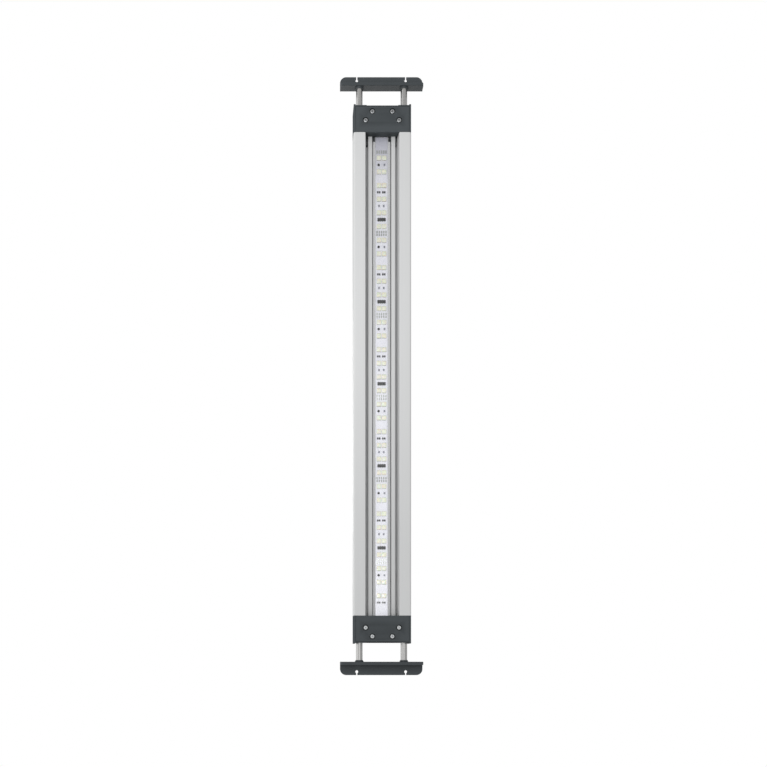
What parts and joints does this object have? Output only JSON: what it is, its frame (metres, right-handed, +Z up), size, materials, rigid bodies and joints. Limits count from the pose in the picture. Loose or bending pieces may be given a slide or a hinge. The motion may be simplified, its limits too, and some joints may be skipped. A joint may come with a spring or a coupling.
{
  "type": "led aquarium light",
  "caption": "Slim aluminium LED luminaire that spans a tank, with dark end caps and a sliding rim saddle on two steel rods at each end.",
  "frame": {"origin": "centre of the flat land along the top of the housing", "axes": "+X along the length towards the right end, which holds the inlet; +Y across; +Z up, away from the water; the LEDs face -Z"},
  "size_m": [0.7315, 0.1008, 0.024],
  "materials": {
    "housing": "satin anodised",
    "cap": "satin moulded",
    "saddle": "satin moulded",
    "screw": "turned",
    "seal": "matte",
    "bush": "natural polymer",
    "tape": "matte",
    "board": "white solder mask",
    "led_body": "moulded",
    "phosphor": "silicone with phosphor",
    "chip": "moulded",
    "tin": "tinned",
    "resistor": "glazed",
    "capacitor": "ceramic body",
    "clear_cover": "clear",
    "inlet": "nickel plated",
    "insert": "moulded",
    "contact": "plated",
    "nut": "nickel plated",
    "wire_red": "insulation",
    "wire_black": "insulation",
    "rod": "ground"
  },
  "bodies": {
    "housing": {"housing_profile": "housing", "end_cap_left": "cap", "end_cap_right": "cap", "cap_cover_left": "cap", "cap_cover_right": "cap", "cap_cover_screws_left": "screw", "cap_cover_screws_right": "screw", "cap_gasket_left": "seal", "cap_gasket_right": "seal", "cap_fixing_screws_left": "screw", "cap_fixing_screws_right": "screw", "rod_bushes_left": "bush", "rod_bushes_right": "bush", "thermal_tape": "tape", "led_board": "board", "led_packages": "led_body", "led_phosphors": "phosphor", "driver_chips": "chip", "driver_leads": "tin", "resistors": "resistor", "capacitors": "capacitor", "diodes": "chip", "solder_pads": "tin", "led_cover": "clear_cover", "board_grommet_left": "seal", "board_grommet_right": "seal", "inlet_socket": "inlet", "inlet_insert": "insert", "inlet_contacts": "contact", "inlet_nut": "nut", "inlet_seal": "seal", "supply_wire_red": "wire_red", "supply_wire_black": "wire_black", "solder_joints": "tin"},
    "bracket_right": {"rim_saddle_right": "saddle", "guide_rod_right_front": "rod", "guide_rod_right_rear": "rod", "rod_screws_right": "screw", "rod_stops_right": "bush", "stop_screws_right": "screw"},
    "bracket_left": {"rim_saddle_left": "saddle", "guide_rod_left_front": "rod", "guide_rod_left_rear": "rod", "rod_screws_left": "screw", "rod_stops_left": "bush", "stop_screws_left": "screw"}
  },
  "joints": [
    {"name": "bracket_right_slide", "type": "slide", "parent": "housing", "child": "bracket_right", "axis": [1, 0, 0], "range_m": [-0.0235, 0.073]},
    {"name": "bracket_left_slide", "type": "slide", "parent": "housing", "child": "bracket_left", "axis": [-1, 0, 0], "range_m": [-0.019, 0.0775]}
  ]
}
